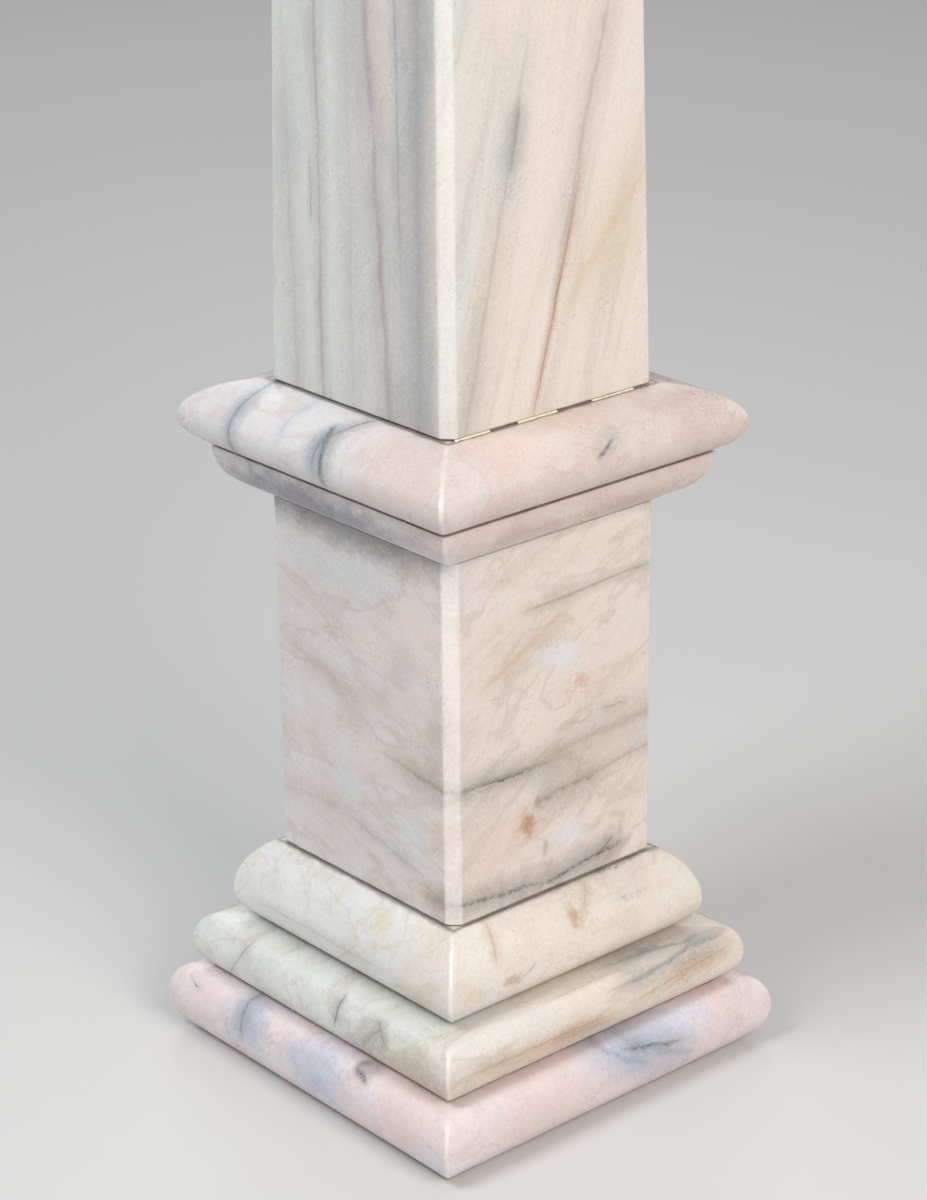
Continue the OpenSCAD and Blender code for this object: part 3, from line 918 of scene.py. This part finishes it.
point_z = shaft_high.z - POINT_H
shaft_outline = [(shaft_half - EASED, shaft_low.z), (shaft_half, shaft_low.z + EASED)]
for level in range(1, SHAFT_LEVELS + 1):
    share = level / SHAFT_LEVELS
    shaft_outline.append((shaft_half + (SHAFT_TOP_HALF - shaft_half) * share,
                          shaft_low.z + EASED + (point_z - shaft_low.z - EASED) * share))
for level in range(1, POINT_LEVELS + 1):
    share = level / POINT_LEVELS
    shaft_outline.append((SHAFT_TOP_HALF + (TIP_HALF - SHAFT_TOP_HALF) * share,
                          point_z + POINT_H * share))
shaft_stone = cut_blank("shaft_marble_block", shaft_half - EASED, shaft_low.z, cells=17,
                        corner_cuts=BLOCK_CUTS)
raise_stone(shaft_outline)
dress(shaft_stone, ARRIS, (shaft_low.z, shaft_low.z + EASED), refine=2, chip=BLOCK_CHIP)

shaft_paint = start_marble("shaft_marble", shaft_low.z, SHAFT_TONES,
                           tilt=(-16, 0, 0), stretch=(1.0, 1.0, 9.0), size=0.030, zoned=3.2,
                           smoke=0.30, lines=0.35)
patch(shaft_paint, ICE_BLUE, (-40, -54, 96), (12, 8, 26), 1.0, 0.5)
patch(shaft_paint, ICE_BLUE, (54, -22, 100), (8, 10, 24), 1.1, 0.5)
patch(shaft_paint, SAND, (54, 34, 60), (8, 18, 26), 1.2, 0.5)
vein(shaft_paint, ASH, (37, -54, 120), (1, 0, 0.012), 700, 3.4, 0.8, 0.3, 0.1, 0.25, 0.62)
vein(shaft_paint, ASH, (25.5, -54, 120), (1, 0, 0.03), 90, 1.4, 1.2, 0.2, 0.2, 0.5, 0.3)
vein(shaft_paint, MAUVE_ASH, (16, -54, 60), (1, 0, 0.09), 260, 3.4, 2.2, 0.3, 0.2, 0.6, 0.45)
vein(shaft_paint, FAWN, (-35, -54, 20), (1, 0, 0.05), 150, 2.6, 2.4, 0.3, 0.2, 0.35, 0.4)
vein(shaft_paint, PALE_FAWN, (-2, -54, 80), (1, 0, 0.02), 220, 2.4, 2.2, 0.3, 0.2, 0.3, 0.35)
vein(shaft_paint, BRICK, (15.5, -54, 56), (1, 0, 0.05), 14, 1.0, 0.8, 0.3, 0.4, 0.55, 0.1)
vein(shaft_paint, UMBER, (-19.5, -54, 50), (1, 0, 0.02), 170, 1.5, 1.6, 0.2, 0.2, 0.55, 0.35)
vein(shaft_paint, DARK_ASH, (-25, -54, 80), (1, 0, 0.03), 16, 0.8, 0.6, 0.2, 0.3, 0.65, 0.2)
vein(shaft_paint, RUST, (54, 1, 44), STEEP, 62, 0.75, 0.9, 0.2, 0.15, 0.9, 0.42)
vein(shaft_paint, OXBLOOD, (54, 4, 52), STEEP, 30, 0.5, 0.9, 0.2, 0.1, 0.75, 0.0)
vein(shaft_paint, ROSE_ASH, (54, 17, 108), STEEP, 70, 2.4, 2.0, 0.3, 0.2, 0.5, 0.35)
vein(shaft_paint, BLUE_GREY, (54, -18, 108), (0, 0.98, -0.2), 17, 1.9, 1.2, 0.2, 0.2, 0.7, 0.35)
vein(shaft_paint, LICHEN, (54, -31, 60), (0, 0.972, -0.235), 110, 2.8, 2.0, 0.3, 0.2, 0.5, 0.35)
vein(shaft_paint, TAWNY, (54, 30, 66), (0, 0.75, -0.66), 50, 5.0, 4.0, 0.6, 0.2, 0.5, 0.3)
for height, across, facing, tint in ((330, -20, STEEP, RUST), (520, 12, STEEPER, GREY_BROWN),
                                     (760, -8, STEEP, RUST), (980, 10, STEEPER, BLUE_GREY),
                                     (1180, -4, STEEP, GREY_BROWN)):
    vein(shaft_paint, tint, (46, across, height), facing,
         130, 1.1, 2.0, 0.3, 0.2, 0.6, 0.35)
    vein(shaft_paint, GREY_BROWN, (-across, -46, height + 60), (1, 0, 0.03),
         150, 1.6, 2.0, 0.3, 0.2, 0.45, 0.35)
    vein(shaft_paint, tint, (-46, -across, height - 40), facing,
         120, 1.3, 2.0, 0.3, 0.2, 0.55, 0.35)
    vein(shaft_paint, GREY_BROWN, (across, 46, height - 90), (1, 0, 0.04),
         150, 1.6, 2.0, 0.3, 0.2, 0.5, 0.35)
shaft_marble = finish_marble(shaft_paint, ARRIS_HIGHLIGHT_WIDTH, EDGE_HIGHLIGHT_PALE,
                             [(0, shaft_half, 1.0 * MM, 0.45)], highlight_strength=0.42)
set_stone(shaft_stone, "shaft", shaft_marble)

# ---------------------------------------------------------------------------
# Beds: dark mastic under each stone, held back from the edge, and the cream
# filler left in three short runs under the right side of the shaft.
# ---------------------------------------------------------------------------


def paste(name, colour, stain, stain_cells, stain_detail, stained, roughness,
          grit_cells, grit_detail, grit_height):
    """A matt paste of that colour, a little gritty, with cloudy stains that run between the two
    levels of the noise that stained gives."""
    material = bpy.data.materials.new(name)
    material.use_nodes = True
    tree = material.node_tree
    position = tree.nodes.new("ShaderNodeTexCoord").outputs["Object"]
    paint = {"tree": tree, "colour": colour}
    stain_cloud = cloud(tree, position, stain_cells, stain_detail)
    blend_colour(paint, stain, fade(tree, stain_cloud, *stained), 0.6)
    shader = tree.nodes["Principled BSDF"]
    tree.links.new(paint["colour"], shader.inputs["Base Color"])
    shader.inputs["Roughness"].default_value = roughness
    bump = tree.nodes.new("ShaderNodeBump")
    bump.inputs["Distance"].default_value = grit_height
    tree.links.new(cloud(tree, position, grit_cells, grit_detail), bump.inputs["Height"])
    tree.links.new(bump.outputs[0], shader.inputs["Normal"])
    return material


bed_material = paste("bed_mastic", linear(92, 84, 78), linear(150, 140, 128),
                     stain_cells=240.0, stain_detail=5.0, stained=(0.40, 0.66), roughness=0.85,
                     grit_cells=700.0, grit_detail=4.0, grit_height=0.2 * MM)
filler_material = paste("cream_filler", linear(250, 240, 218), linear(206, 188, 158),
                        stain_cells=300.0, stain_detail=4.0, stained=(0.50, 0.72), roughness=0.6,
                        grit_cells=900.0, grit_detail=3.0, grit_height=0.15 * MM)
for bed_name in ("base_bed", "middle_bed", "die_bed", "cornice_bed", "shaft_bed"):
    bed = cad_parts[bed_name]
    bed.data.materials.clear()
    bed.data.materials.append(bed_material)

bed_low, bed_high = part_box("shaft_bed")
bed_t = bed_high.z - bed_low.z
bed_middle = (bed_low.z + bed_high.z) / 2
FILLER_RUNS = {"near": (-50, -33), "middle": (-19, 1), "far": (19, 41)}
FILLER_DEPTH = 1.2 * MM
FILLER_PROUD = 0.35 * MM
FILLER_ROUND = 0.25 * MM
FILLER_HOLLOWS = 0.25 * MM
FILLER_CUTS = 24
for run_name, (run_start, run_end) in FILLER_RUNS.items():
    length = (run_end - run_start) * MM
    bpy.ops.object.select_all(action="DESELECT")
    bpy.ops.mesh.primitive_cube_add(
        size=1, scale=(FILLER_DEPTH, length, bed_t),
        location=(shaft_half + FILLER_PROUD - FILLER_DEPTH / 2,
                  (run_start + run_end) / 2 * MM, bed_middle))
    filler = bpy.context.object
    filler.name = "filler_" + run_name
    filler.data.name = filler.name
    bpy.ops.object.transform_apply(location=True, rotation=True, scale=True)
    bpy.ops.object.mode_set(mode="EDIT")
    bpy.ops.mesh.select_all(action="SELECT")
    bpy.ops.mesh.bevel(offset=FILLER_ROUND, segments=3, affect="EDGES")
    bpy.ops.mesh.select_all(action="SELECT")
    for cut in range(1, FILLER_CUTS):
        place = run_start * MM + length * cut / FILLER_CUTS
        bpy.ops.mesh.bisect(plane_co=(0, place, 0), plane_no=(0, 1, 0))
        bpy.ops.mesh.select_all(action="SELECT")
    bpy.ops.object.mode_set(mode="OBJECT")
    smear = filler.modifiers.new("smear", "DISPLACE")
    smear.texture = CHIPS
    smear.texture_coords = "LOCAL"
    smear.strength = -FILLER_HOLLOWS
    smear.mid_level = 0
    bpy.ops.object.modifier_apply(modifier="smear")
    bpy.ops.object.shade_smooth_by_angle(angle=math.radians(50))
    filler.data.materials.append(filler_material)
    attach(filler, "root")
